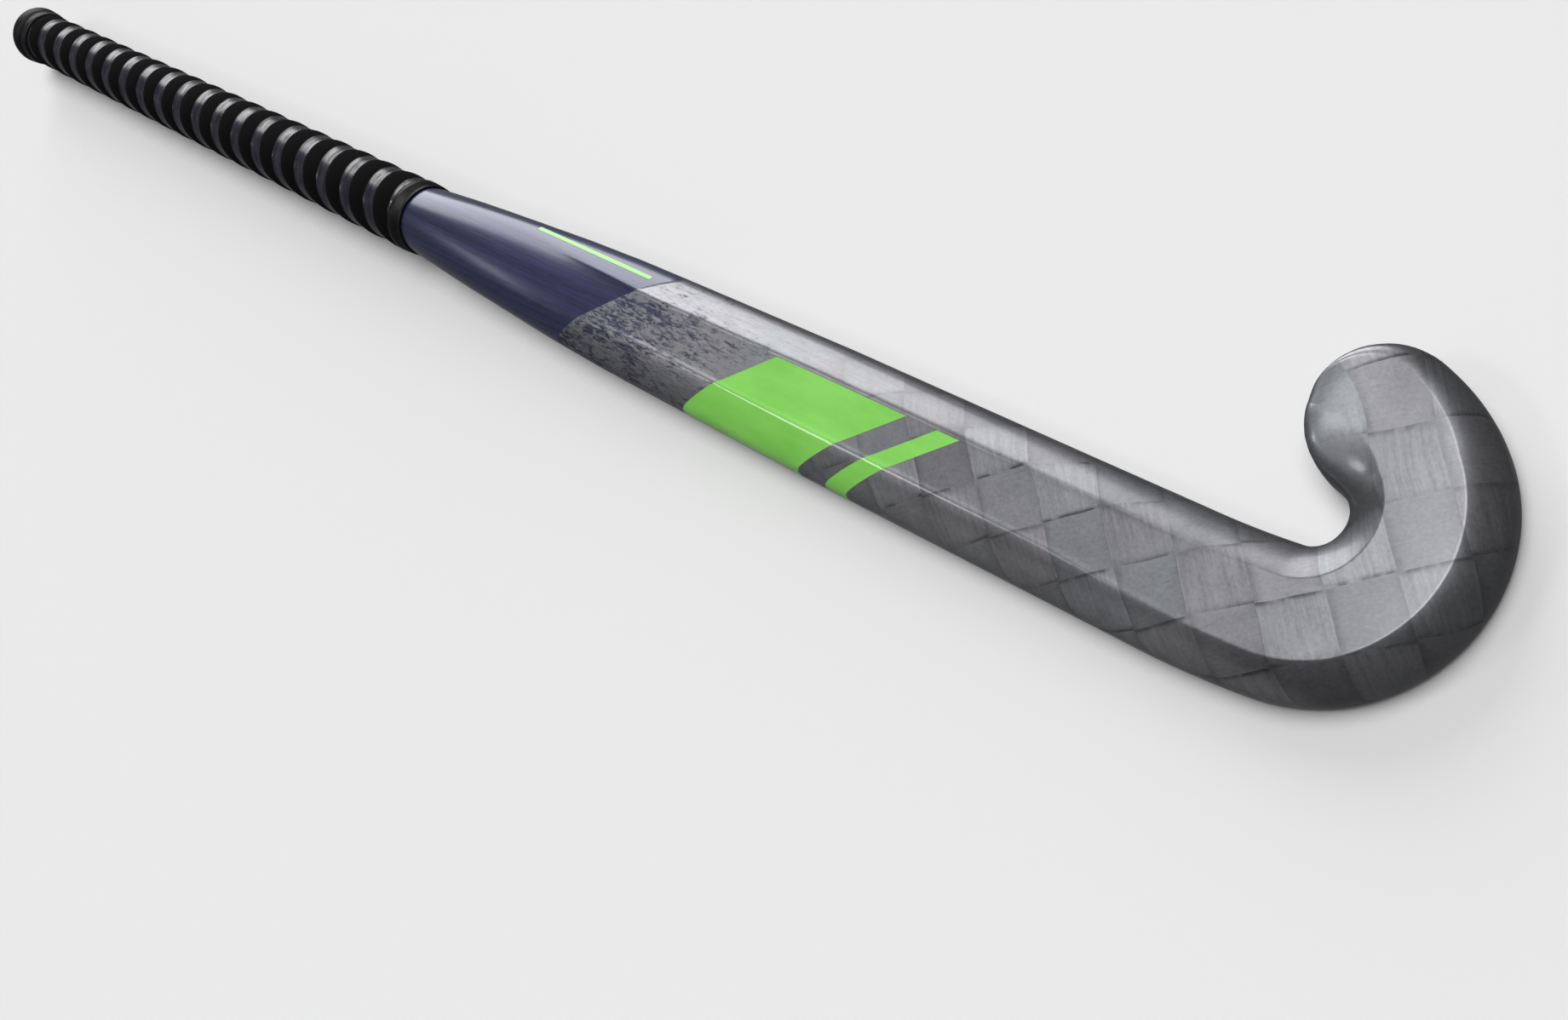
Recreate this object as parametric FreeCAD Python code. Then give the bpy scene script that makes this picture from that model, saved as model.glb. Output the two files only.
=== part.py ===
"""Composite field hockey stick, lying on its playing face, in millimetres.

X runs along the handle from the butt to the head, Y points to the side where the toe turns up, and Z
points out of the rounded back. The handle is round, the shaft and head have a flat playing face, a flat
land along the middle of the back and a bevel on each side of the land. Every layer of the moulding is a
loft of the same section, inset by a different amount, so that the layers nest face to face.
"""
import FreeCAD, Part
import math
import os
from FreeCAD import Vector

# Overall
GRIP_LENGTH = 401.0
HANDLE_HEIGHT = 16.9        # handle axis above the plane that the playing face lies in
BUTT_GRIP_DIAMETER = 28.8   # over the grip's ribs, at the butt
NECK_GRIP_DIAMETER = 33.6   # over the grip's ribs, where the grip ends
GRIP_BUILD = 1.5            # tape, wrap and rib on the handle's radius
TUBE_START = 8.0            # the moulded tube starts inside the butt cap

# Shaft and head section
THICKNESS = 22.0
CORNER_RADIUS = 4.5
ROUND_END = 401.0           # the section is round up to here
FLAT_START = 494.0          # the playing face is flat from here
BACK_START = 445.0          # between these two the back turns from round to bevelled
BACK_END = 562.0
BOW_START = 384.0           # the centre line comes down from the handle's height between these two
BOW_END = 783.0
HOOK_START = 798.0
HOOK_ARCS = ((336.0, 6.05), (33.8, 147.0), (51.2, 37.0))  # radius and angle of the head's centre line
CAP_LENGTH = 24.0           # the rounded end of the toe
CAP_LEAN = 5.0              # how far the toe's end leans to the inside of the hook
# Station along the centre line, and the bevel's width or its fall as a share of half the thickness
INNER_BEVEL = ((758.0, 13.7), (850.0, 12.9), (912.0, 13.0), (948.0, 20.0))
OUTER_BEVEL = ((758.0, 15.5), (850.0, 11.0), (908.0, 11.5), (940.0, 6.5))
BEVEL_DROP = ((898.0, 0.58), (925.0, 0.32), (945.0, 0.14))
BEVEL_BULGE = 0.9           # how far a bevel's middle stands out of the straight line

# Layers of the moulding, as depths under the outer surface
PLY = 0.5
LAMINATE = 3.1
LINER = 3.5
FACE_GRIND = 0.05           # taken off the playing face, which makes it one true plane on the head
WEB_THICKNESS = 1.8
PLUG_END = 40.0
CHAMBER_START = 400.0
CHAMBER_END = 770.0

# Paint and decoration
SLANT = 1.10                # how far a slanted edge runs along X for each unit of Y
PAINT_END = 533.5           # where the paint ends on the centre line
FILM = 0.2
PANEL_START, PANEL_END = 613.0, 676.0    # along X, on the centre line
BAND_START, BAND_END = 690.0, 700.0
STRIPE_START, STRIPE_END = 474.0, 546.0
STRIPE_MIDDLE, STRIPE_WIDTH = 17.0, 1.6   # across the shaft, on the toe side's bevel

# Grip
BASE_TAPE = 0.3
WRAP_START, WRAP_END = 18.0, 392.0
PITCH = 19.93
FIRST_RIB, FIRST_RIB_ANGLE = 25.6, 94.0  # a rib crosses this angle about the handle at this X
STRIP_GAP = 0.4
VALLEY = 0.5                # thickness of the strip between its ribs
RIB_RISE = 0.7
RIB_WIDTH = 12.0
CORD_WIDTH, CORD_HEIGHT, CORD_SLOPE = 5.0, 0.6, 0.8
FINISH_HEIGHT, FINISH_EDGE = 1.5, 0.9     # the finishing tape over the handle, and at its thin end

# Butt
CAP_RADIUS = 15.9
CAP_FLAT_RADIUS = 11.0
CAP_SKIRT_END, CAP_SKIRT_RADIUS = 12.0, 15.5
BAND_HEIGHT, BAND_STEP = 1.8, 0.2         # the band's thin end over the handle, and its step under the cap
STEM_RADIUS, STEM_END = 6.5, 24.0

BEYOND = 400.0              # how far a cutting block reaches past the handle's axis


def smooth(x):
    """Zero below 0, one above 1, and level at both."""
    x = min(max(x, 0.0), 1.0)
    return x * x * (3.0 - 2.0 * x)


def along(table, s):
    """Straight-line interpolation in a table of (station, value) pairs."""
    if s <= table[0][0]:
        return table[0][1]
    for (s0, v0), (s1, v1) in zip(table, table[1:]):
        if s <= s1:
            return v0 + (v1 - v0) * (s - s0) / (s1 - s0)
    return table[-1][1]


# The eight cubics of the section, in order: the playing face, the toe side's corner, shoulder and bevel,
# the land, and the heel side's bevel, shoulder and corner.
TOE_BEVEL, LAND, HEEL_SHOULDER = 3, 4, 6

HOOK_LENGTH = sum(radius * math.radians(angle) for radius, angle in HOOK_ARCS)
PATH_END = HOOK_START + HOOK_LENGTH
CAP_START = PATH_END - CAP_LENGTH
WIDTH = (
    (ROUND_END, NECK_GRIP_DIAMETER - 2.0 * GRIP_BUILD),
    (430.0, 35.3),
    (470.0, 40.5),
    (500.0, 44.2),
    (530.0, 46.6),
    (560.0, 47.7),
    (646.0, 50.0),
    (HOOK_START, 50.0),
    (HOOK_START + 0.28 * HOOK_LENGTH, 49.0),
    (HOOK_START + 0.50 * HOOK_LENGTH, 48.4),
    (HOOK_START + 0.72 * HOOK_LENGTH, 46.8),
    (CAP_START, 48.0),
)


def handle_radius(s):
    """Outer radius of the moulded tube where it is round."""
    share = min(s / GRIP_LENGTH, 1.0)
    diameter = BUTT_GRIP_DIAMETER + (NECK_GRIP_DIAMETER - BUTT_GRIP_DIAMETER) * share
    return 0.5 * diameter - GRIP_BUILD


def centre_height(s):
    """Height of the section's middle: the playing face of the head lies at zero."""
    drop = HANDLE_HEIGHT - 0.5 * THICKNESS
    return HANDLE_HEIGHT - drop * smooth((s - BOW_START) / (BOW_END - BOW_START))


def centre(s):
    """X, Y and heading (radians) of the centre line at a station."""
    x, y, heading = min(s, HOOK_START), 0.0, 0.0
    left = s - HOOK_START
    for radius, angle in HOOK_ARCS:
        if left <= 0.0:
            break
        turn = min(left / radius, math.radians(angle))
        x += radius * (math.sin(heading + turn) - math.sin(heading))
        y += radius * (math.cos(heading) - math.cos(heading + turn))
        heading += turn
        left -= radius * turn
    return x, y, heading


def bezier_arc(radius, start, end):
    """Four poles of the cubic that follows a circular arc about the section's middle, in degrees."""
    a, b = math.radians(start), math.radians(end)
    reach = 4.0 / 3.0 * math.tan(0.25 * (b - a)) * radius
    p = (radius * math.cos(a), radius * math.sin(a))
    q = (radius * math.cos(b), radius * math.sin(b))
    return [
        p,
        (p[0] - reach * math.sin(a), p[1] + reach * math.cos(a)),
        (q[0] + reach * math.sin(b), q[1] - reach * math.cos(b)),
        q,
    ]


def straight(p, q):
    """Four poles of a straight cubic."""
    third = ((q[0] - p[0]) / 3.0, (q[1] - p[1]) / 3.0)
    return [p, (p[0] + third[0], p[1] + third[1]), (q[0] - third[0], q[1] - third[1]), q]


def flat_outline(half, thick, inner_bevel, outer_bevel, drop, corner):
    """The eight cubics of the flat-faced section, from the face's heel side round through the toe side."""
    reach = 0.5523 * corner
    right = [straight((-(half - corner), -thick), (half - corner, -thick))]
    left = []
    for side, bevel, edges in ((1.0, inner_bevel, right), (-1.0, outer_bevel, left)):
        foot = (side * (half - corner), -thick)
        wall = (side * half, -thick + corner)
        shoulder = (side * (half - 0.2 * bevel), (1.0 - drop) * thick)
        crease = (side * (half - bevel), thick)
        chord = (crease[0] - shoulder[0], crease[1] - shoulder[1])
        bulge = BEVEL_BULGE / THICKNESS * 2.0 * thick / math.hypot(*chord)
        out = (side * bulge * chord[1], -side * bulge * chord[0])
        first = (shoulder[0] + chord[0] / 3.0 + out[0], shoulder[1] + chord[1] / 3.0 + out[1])
        second = (crease[0] - chord[0] / 3.0 + out[0], crease[1] - chord[1] / 3.0 + out[1])
        tangent = (first[0] - shoulder[0], first[1] - shoulder[1])
        lean = 0.35 * thick / math.hypot(*tangent)
        edges.append([foot, (foot[0] + side * reach, foot[1]), (wall[0], wall[1] - reach), wall])
        edges.append([
            wall,
            (wall[0], wall[1] + 0.35 * thick),
            (shoulder[0] - lean * tangent[0], shoulder[1] - lean * tangent[1]),
            shoulder,
        ])
        edges.append([shoulder, first, second, crease])
    land = straight(right[-1][3], left[-1][3])
    return right + [land] + [edge[::-1] for edge in reversed(left)]


# Where the cubics meet on the round section, in degrees, and the poles that belong to the back
ROUND_ANGLES = (-132.0, -48.0, -28.0, 8.0, 48.0, 132.0, 172.0, 208.0, 228.0)
BACK_POLES = ((), (), (2, 3), (0, 1, 2, 3), (0, 1, 2, 3), (0, 1, 2, 3), (0, 1), ())


def outline(s, inset):
    """The section at a station, with every point moved in by the inset, as eight cubics."""
    cap_length = CAP_LENGTH - inset
    reach = min(max((s - CAP_START) / cap_length, 0.0), 0.9995)
    width_left = math.sqrt(1.0 - reach * reach)
    thick_left = (1.0 - reach ** 8) ** 0.125
    face_share = smooth((s - ROUND_END) / (FLAT_START - ROUND_END))
    back_share = smooth((s - BACK_START) / (BACK_END - BACK_START))
    radius = handle_radius(s) - inset
    half = radius if s < ROUND_END else (0.5 * along(WIDTH, s) - inset) * width_left
    thick = ((1.0 - face_share) * radius + face_share * (0.5 * THICKNESS - inset)) * thick_left
    crease_shift = 0.26 * inset
    inner = (along(INNER_BEVEL, s) + crease_shift - inset) * width_left
    outer = (along(OUTER_BEVEL, s) + crease_shift - inset) * width_left
    corner = max(CORNER_RADIUS - inset, 0.6) * min(1.0, thick_left, 2.0 * width_left)
    corner = min(corner, 0.45 * half)
    flat = flat_outline(half, thick, inner, outer, along(BEVEL_DROP, s), corner)
    lean = CAP_LEAN * reach * reach
    edges = []
    for number, poles in enumerate(flat):
        arc = bezier_arc(1.0, ROUND_ANGLES[number], ROUND_ANGLES[number + 1])
        shares = [back_share if pole in BACK_POLES[number] else face_share for pole in range(4)]
        edges.append([
            ((1.0 - share) * half * c[0] + share * p[0] + lean, (1.0 - share) * thick * c[1] + share * p[1])
            for share, c, p in zip(shares, arc, poles)
        ])
    return edges


def place(s, point):
    """A point of the section at a station, put into space."""
    x, y, heading = centre(s)
    return Vector(
        x - math.sin(heading) * point[0],
        y + math.cos(heading) * point[0],
        centre_height(s) + point[1],
    )


def cubic(s, poles):
    curve = Part.BezierCurve()
    curve.setPoles([place(s, pole) for pole in poles])
    return curve.toShape()


def stations(inset):
    """Pairs of a section's place on the centre line and its parameter along the loft."""
    plain = [TUBE_START, 0.3 * ROUND_END, 0.6 * ROUND_END, 0.8 * ROUND_END, 0.93 * ROUND_END]
    neck_steps, shaft_steps = 15, 7
    plain += [ROUND_END + (BACK_END - ROUND_END) * k / neck_steps for k in range(neck_steps)]
    plain += [BACK_END + (HOOK_START - BACK_END) * k / shaft_steps for k in range(shaft_steps)]
    start = HOOK_START
    for radius, angle in HOOK_ARCS:
        steps = max(2, round(angle / 9.0))
        length = radius * math.radians(angle)
        plain += [start + length * k / steps for k in range(steps)]
        start += length
    closest = 3.0
    result = [(s, s) for s in plain if s < CAP_START - closest]
    cap_steps = 9
    last_angle = math.radians(87.5)
    cap_length = CAP_LENGTH - inset
    for k in range(cap_steps + 1):
        angle = last_angle * k / cap_steps
        result.append((CAP_START + cap_length * math.sin(angle), CAP_START + cap_length * angle))
    return result


def surface_row(points, parameters):
    curve = Part.BSplineCurve()
    curve.interpolate(Points=points, Parameters=parameters)
    return curve


class Skin:
    """The closed surface that lies a given depth under the outer one, open at the butt."""

    def __init__(self, inset):
        places = stations(inset)
        parameters = [parameter for _, parameter in places]
        outlines = [outline(s, inset) for s, _ in places]
        self.sides = []
        for number in range(len(outlines[0])):
            rows = []
            for pole in range(4):
                points = [place(s, edges[number][pole]) for (s, _), edges in zip(places, outlines)]
                rows.append(surface_row(points, parameters))
            surface = Part.BSplineSurface()
            surface.buildFromPolesMultsKnots(
                [row.getPoles() for row in rows], [4, 4], rows[0].getMultiplicities(),
                [0.0, 1.0], rows[0].getKnots(), False, False, 3, 3,
            )
            self.sides.append(surface.toShape())
        self.mouth, tip = [
            Part.Wire([cubic(s, poles) for poles in edges])
            for (s, _), edges in ((places[0], outlines[0]), (places[-1], outlines[-1]))
        ]
        self.tip = Part.Face(tip)


def closed(faces):
    """One solid from the faces that bound it."""
    shell = Part.Compound(faces)
    shell.sewShape()
    solid = Part.Solid(shell.Shells[0])
    if solid.Volume < 0.0:
        solid.reverse()
    return solid


def filled(skin):
    return closed(skin.sides + [skin.tip, Part.Face(skin.mouth)])


def wall(outside, inside):
    """The solid between two nested surfaces."""
    rim = Part.makeFace([outside.mouth, inside.mouth], "Part::FaceMakerBullseye")
    return closed(outside.sides + inside.sides + [outside.tip, inside.tip, rim])


def slab(x0, x1, y0=-BEYOND, y1=BEYOND):
    """A tall block between two X planes."""
    return Part.makeBox(x1 - x0, y1 - y0, 2.0 * BEYOND, Vector(x0, y0, -BEYOND))


def slanted_slab(x0, x1):
    """A tall block between two slanted planes, given by where they cross the centre line."""
    lean = SLANT * BEYOND
    corners = [(x0 - lean, -BEYOND), (x1 - lean, -BEYOND), (x1 + lean, BEYOND), (x0 + lean, BEYOND)]
    points = [Vector(x, y, -BEYOND) for x, y in corners]
    face = Part.Face(Part.makePolygon(points + points[:1]))
    return face.extrude(Vector(0.0, 0.0, 2.0 * BEYOND))


def moulded_parts():
    outer, under_ply, under_laminate, under_liner = (Skin(d) for d in (0.0, PLY, LAMINATE, LINER))
    ply = wall(outer, under_ply)
    cavity = filled(under_liner)
    above_face = slab(0.0, PATH_END)
    above_face.translate(Vector(0.0, 0.0, BEYOND + FACE_GRIND))
    web = slab(CHAMBER_START, CHAMBER_END, -0.5 * WEB_THICKNESS, 0.5 * WEB_THICKNESS)
    toe_side = slab(CHAMBER_START, CHAMBER_END, y0=0.5 * WEB_THICKNESS)
    heel_side = slab(CHAMBER_START, CHAMBER_END, y1=-0.5 * WEB_THICKNESS)
    bore = Part.makeCylinder(STEM_RADIUS, STEM_END, Vector(0.0, 0.0, HANDLE_HEIGHT), Vector(1.0, 0.0, 0.0))
    return {
        "painted_ply": ply.common(slanted_slab(-BEYOND, PAINT_END)),
        "spread_tow_ply": ply.common(slanted_slab(PAINT_END, PATH_END + BEYOND)).common(above_face),
        "structural_laminate": wall(under_ply, under_laminate),
        "damping_liner": wall(under_laminate, under_liner),
        "butt_plug": cavity.common(slab(0.0, PLUG_END)).cut(bore),
        "handle_core": cavity.common(slab(PLUG_END, CHAMBER_START)),
        "bridge_web": cavity.common(web),
        "shaft_core_toe_side": cavity.common(toe_side),
        "shaft_core_heel_side": cavity.common(heel_side),
        "head_core": cavity.common(slab(CHAMBER_END, PATH_END)),
    }


def film_section(s, first, last):
    """A closed wire that follows part of the outer section and comes back a film's thickness above it."""
    under = outline(s, 0.0)[first:last + 1]
    over = outline(s, -FILM)[first:last + 1]
    edges = [cubic(s, poles) for poles in under]
    edges.append(Part.makeLine(place(s, under[-1][3]), place(s, over[-1][3])))
    edges += [cubic(s, poles[::-1]) for poles in reversed(over)]
    edges.append(Part.makeLine(place(s, over[0][0]), place(s, under[0][0])))
    return Part.Wire(edges)


def film(first, last, x0, x1):
    """A lacquer film over neighbouring cubics of the section, between two stations."""
    steps = round((x1 - x0) / 20.0)
    places = [x0 + (x1 - x0) * k / steps for k in range(steps + 1)]
    return Part.makeLoft([film_section(s, first, last) for s in places], True, False)


def decoration():
    """Green lacquer: a broad panel and a narrow band over the land and the heel-side bevel."""
    margin = 45.0
    heel_side = film(LAND, HEEL_SHOULDER, PANEL_START - margin, BAND_END + margin)
    toe_bevel = film(TOE_BEVEL, TOE_BEVEL, STRIPE_START - margin, STRIPE_END + margin)
    stripe = slab(STRIPE_START, STRIPE_END, STRIPE_MIDDLE - 0.5 * STRIPE_WIDTH,
                  STRIPE_MIDDLE + 0.5 * STRIPE_WIDTH)
    return {
        "accent_panel": heel_side.common(slanted_slab(PANEL_START, PANEL_END)),
        "accent_band": heel_side.common(slanted_slab(BAND_START, BAND_END)),
        "pinstripe": toe_bevel.common(stripe),
    }


def turned(profile):
    """A ring or a plug: points of (X, radius) turned about the handle's axis."""
    points = [Vector(x, 0.0, HANDLE_HEIGHT + radius) for x, radius in profile]
    face = Part.Face(Part.makePolygon(points + points[:1]))
    return face.revolve(Vector(0.0, 0.0, HANDLE_HEIGHT), Vector(1.0, 0.0, 0.0), 360.0)


def rounded_turned(profile, radius, corners):
    """As turned, with the listed corners of the profile rounded."""
    solid = turned(profile)
    chosen = []
    for edge in solid.Edges:
        curve = edge.Curve
        if not isinstance(curve, Part.Circle):
            continue
        for x, r in corners:
            if abs(curve.Center.x - x) < 0.01 and abs(curve.Radius - r) < 0.01:
                chosen.append(edge)
    return solid.makeFillet(radius, chosen)


def helix(profile):
    """Sweeps a closed profile of (offset along X, radius above the tube) once round for each rib."""
    first = FIRST_RIB - PITCH * (1.0 + FIRST_RIB_ANGLE / 360.0)
    turns = math.ceil((WRAP_END + 0.5 * PITCH - first) / PITCH)
    taper = 0.5 * (NECK_GRIP_DIAMETER - BUTT_GRIP_DIAMETER) / GRIP_LENGTH
    base = handle_radius(first) + BASE_TAPE
    path = Part.makeLongHelix(PITCH, turns * PITCH, base, math.degrees(math.atan(taper)))
    points = [Vector(base + rise + taper * offset, 0.0, offset) for offset, rise in profile]
    sweep = Part.BRepOffsetAPI.MakePipeShell(path if path.ShapeType == "Wire" else Part.Wire(path.Edges))
    sweep.setBiNormalMode(Vector(0.0, 0.0, 1.0))
    sweep.add(Part.makePolygon(points + points[:1]), False, False)
    sweep.build()
    sweep.makeSolid()
    solid = sweep.shape()
    turn = FreeCAD.Matrix(0, 0, 1, first, 1, 0, 0, 0, 0, 1, 0, HANDLE_HEIGHT, 0, 0, 0, 1)
    return solid.transformed(turn)


def on_tube(x, rise=0.0):
    """A point (X, radius) at a height above the handle's tube."""
    return x, handle_radius(x) + rise


def grip_parts():
    base_tape = turned([
        on_tube(WRAP_START), on_tube(WRAP_END),
        on_tube(WRAP_END, BASE_TAPE), on_tube(WRAP_START, BASE_TAPE),
    ])
    half_rib, half_cord = 0.5 * RIB_WIDTH, 0.5 * CORD_WIDTH
    valley_end = PITCH - half_rib - STRIP_GAP
    steps = 4
    crown = [(half_rib * (1.0 - k / steps), VALLEY + RIB_RISE * math.sin(0.5 * math.pi * k / steps) ** 2)
             for k in range(steps + 1)]
    crown += [(-x, rise) for x, rise in reversed(crown[:-1])]
    cord_top = half_cord - CORD_SLOPE
    groove = [(-half_cord, 0.0), (-cord_top, CORD_HEIGHT), (cord_top, CORD_HEIGHT), (half_cord, 0.0)]
    strip = [(-half_rib, 0.0)] + groove + [(valley_end, 0.0), (valley_end, VALLEY)] + crown
    length = slab(WRAP_START, WRAP_END)
    return {
        "grip_base_tape": base_tape,
        "grip_wrap": helix(strip).common(length),
        "grip_ridge_cord": helix(groove).common(length),
        "grip_finish_tape": turned([
            on_tube(WRAP_END), on_tube(GRIP_LENGTH), on_tube(GRIP_LENGTH, FINISH_EDGE),
            on_tube(GRIP_LENGTH - FINISH_HEIGHT, FINISH_HEIGHT), on_tube(WRAP_END, FINISH_HEIGHT),
        ]),
        "butt_band": turned([
            on_tube(CAP_SKIRT_END), on_tube(WRAP_START), on_tube(WRAP_START, BAND_HEIGHT),
            (CAP_SKIRT_END, CAP_SKIRT_RADIUS - BAND_STEP),
        ]),
        "butt_cap": rounded_turned([
            (0.0, 0.0), (0.0, CAP_RADIUS), (CAP_SKIRT_END, CAP_SKIRT_RADIUS),
            on_tube(CAP_SKIRT_END), on_tube(TUBE_START),
            (TUBE_START, STEM_RADIUS), (STEM_END, STEM_RADIUS), (STEM_END, 0.0),
        ], CAP_RADIUS - CAP_FLAT_RADIUS, [(0.0, CAP_RADIUS)]),
    }


def main():
    os.makedirs("parts", exist_ok=True)
    parts = {}
    parts.update(moulded_parts())
    parts.update(decoration())
    parts.update(grip_parts())
    box = FreeCAD.BoundBox()
    for shape in parts.values():
        box.add(shape.optimalBoundingBox(False, False))
    to_origin = Vector(-box.Center.x, -box.Center.y, -box.ZMin)
    for name, shape in parts.items():
        if len(shape.Solids) == 1:
            shape = shape.Solids[0]
        shape.translate(to_origin)
        shape.exportStep("parts/" + name + ".step")
        print(name, len(shape.Solids), shape.isValid(), round(shape.Volume / 1000.0, 3))
    print("size", round(box.XLength, 2), round(box.YLength, 2), round(box.ZLength, 2))
    print("moved by", [round(v, 3) for v in to_origin])


main()
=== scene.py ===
"""The looks of a composite field hockey stick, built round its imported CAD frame.

Lengths here are millimetres in the stick's own coordinates, unless a name says otherwise. X runs along the
handle from the butt, Y goes towards the toe side and Z stands out of the back, with zero on the handle's
axis and on the playing face. A station s is a length along the centre line. to_frame() turns a point into
the frame's metres.
"""
import functools
import math

import bmesh
import bpy
from mathutils import Matrix, Vector


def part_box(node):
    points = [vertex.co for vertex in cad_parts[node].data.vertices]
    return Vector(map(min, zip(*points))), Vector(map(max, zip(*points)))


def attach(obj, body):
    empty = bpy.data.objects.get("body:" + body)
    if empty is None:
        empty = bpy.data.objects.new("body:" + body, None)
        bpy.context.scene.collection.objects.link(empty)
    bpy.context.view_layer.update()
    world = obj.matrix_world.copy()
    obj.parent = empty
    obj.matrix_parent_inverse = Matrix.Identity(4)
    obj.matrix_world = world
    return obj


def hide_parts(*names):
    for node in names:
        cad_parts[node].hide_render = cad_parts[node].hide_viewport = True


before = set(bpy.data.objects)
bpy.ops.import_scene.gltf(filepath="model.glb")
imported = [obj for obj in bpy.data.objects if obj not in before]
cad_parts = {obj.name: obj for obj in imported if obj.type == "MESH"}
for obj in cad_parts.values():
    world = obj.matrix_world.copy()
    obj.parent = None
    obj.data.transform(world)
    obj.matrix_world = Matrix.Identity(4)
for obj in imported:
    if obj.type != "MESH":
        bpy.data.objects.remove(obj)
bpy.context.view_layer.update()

# The stick, as its CAD source has it
GRIP_LENGTH = 401.0
HANDLE_HEIGHT = 16.9
BUTT_GRIP_DIAMETER, NECK_GRIP_DIAMETER = 28.8, 33.6
GRIP_BUILD = 1.5
TUBE_START = 8.0
THICKNESS = 22.0
CORNER_RADIUS, SMALLEST_CORNER = 4.5, 0.6
ROUND_END, FLAT_START = 401.0, 494.0
BACK_START, BACK_END = 445.0, 562.0
BOW_START, BOW_END = 384.0, 783.0
HOOK_START = 798.0
HOOK_ARCS = ((336.0, 6.05), (33.8, 147.0), (51.2, 37.0))
CAP_LENGTH = 24.0
CAP_LEAN = 5.0
INNER_BEVEL = ((758.0, 13.7), (850.0, 12.9), (912.0, 13.0), (948.0, 20.0))
OUTER_BEVEL = ((758.0, 15.5), (850.0, 11.0), (908.0, 11.5), (940.0, 6.5))
BEVEL_DROP = ((898.0, 0.58), (925.0, 0.32), (945.0, 0.14))
BEVEL_BULGE = 0.9
SHOULDER_IN = 0.2             # where a bevel's foot lies, as a share of the bevel
WALL_REACH = 0.35             # how long a wall's handles are, as a share of the half thickness
CREASE_SHIFT = 0.26           # how far a crease moves along the land for each millimetre of inset
PLY = 0.5
FACE_GRIND = 0.05
SLANT = 1.10
PAINT_END = 533.5
PANEL_START, PANEL_END = 613.0, 676.0
BAND_START, BAND_END = 690.0, 700.0
STRIPE_START, STRIPE_END = 474.0, 546.0
STRIPE_MIDDLE, STRIPE_WIDTH = 17.0, 1.6
BASE_TAPE = 0.3
WRAP_START, WRAP_END = 18.0, 392.0
PITCH = 19.93
FIRST_RIB, FIRST_RIB_ANGLE = 25.6, 94.0
STRIP_GAP = 0.4
VALLEY, RIB_RISE, RIB_WIDTH = 0.5, 0.7, 12.0
CORD_WIDTH, CORD_HEIGHT, CORD_SLOPE = 5.0, 0.6, 0.8
FINISH_HEIGHT, FINISH_EDGE = 1.5, 0.9
CAP_RADIUS, CAP_FLAT_RADIUS = 15.9, 11.0
CAP_SKIRT_END, CAP_SKIRT_RADIUS = 12.0, 15.5
BAND_HEIGHT, BAND_STEP = 1.8, 0.2
STEM_RADIUS, STEM_END = 6.5, 24.0

# Details that the CAD leaves out
DISH = 0.40           # the land lies this far under its two creases
LIP = 1.9             # over this width it curves up to them
CREASE_ROUND = 0.11   # how far a crease's sharp edge is taken down
LACQUER = 0.10        # how far the green stands proud of the ply
LACQUER_SINK = 0.05   # how far it reaches into the ply
CREASE_FADE = ((762.0, 1.0), (812.0, 0.0))  # station, share of the dish and of the rounding left
TIP_POWER = 8         # how late the thickness shrinks in the end cap
LAST_REACH = 0.99985  # share of the end cap where its last section lies
QUARTER_ARC = 0.5523  # a quarter circle's handle, as a share of its radius
FACE_CLOTH_SHIFT = 70.0   # the face's cloth lies this far beside the back's

HOOK_LENGTH = sum(radius * math.radians(angle) for radius, angle in HOOK_ARCS)
PATH_END = HOOK_START + HOOK_LENGTH
CAP_START = PATH_END - CAP_LENGTH
WIDTH = (
    (ROUND_END, NECK_GRIP_DIAMETER - 2.0 * GRIP_BUILD),
    (430.0, 35.3),
    (470.0, 40.5),
    (500.0, 44.2),
    (530.0, 46.6),
    (560.0, 47.7),
    (646.0, 50.0),
    (HOOK_START, 50.0),
    (HOOK_START + 0.28 * HOOK_LENGTH, 49.0),
    (HOOK_START + 0.50 * HOOK_LENGTH, 48.4),
    (HOOK_START + 0.72 * HOOK_LENGTH, 46.8),
    (CAP_START, 48.0),
)

# The section's eight sides in order, with the places of their points as shares of each side's length
SIDES = ("face", "toe_corner", "toe_shoulder", "toe_bevel", "land", "heel_bevel", "heel_shoulder",
         "heel_corner")
ROUND_ANGLES = (-132.0, -48.0, -28.0, 8.0, 48.0, 132.0, 172.0, 208.0, 228.0)
BACK_POLES = ((), (), (2, 3), (0, 1, 2, 3), (0, 1, 2, 3), (0, 1, 2, 3), (0, 1), ())
EVEN = tuple(k / 6.0 for k in range(6))
TO_CREASE = (0.0, 0.2, 0.4, 0.6, 0.78, 0.9, 0.965)
LAND_EDGE = (0.0, 0.02, 0.045, 0.07, 0.1, 0.16, 0.28, 0.42)
SHARES = {
    "toe_bevel": TO_CREASE,
    "land": LAND_EDGE + (0.5,) + tuple(1.0 - t for t in reversed(LAND_EDGE[1:])),
    "heel_bevel": (0.0,) + tuple(1.0 - t for t in reversed(TO_CREASE[1:])),
}
POINTS = [(side, t) for side in range(len(SIDES)) for t in SHARES.get(SIDES[side], EVEN)]
FIRST = {SIDES[side]: index for index, (side, t) in reversed(list(enumerate(POINTS))) if t == 0.0}
LAND_MIDDLE = POINTS.index((SIDES.index("land"), 0.5))

butt_low, butt_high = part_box("butt_cap")
ORIGIN = Vector((butt_low[0], 0.5 * (butt_low[1] + butt_high[1]), -0.001 * FACE_GRIND))


def to_frame(x, y, z):
    """A point in millimetres, in the frame's metres."""
    return ORIGIN + Vector((x, y, z)) * 0.001


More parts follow.
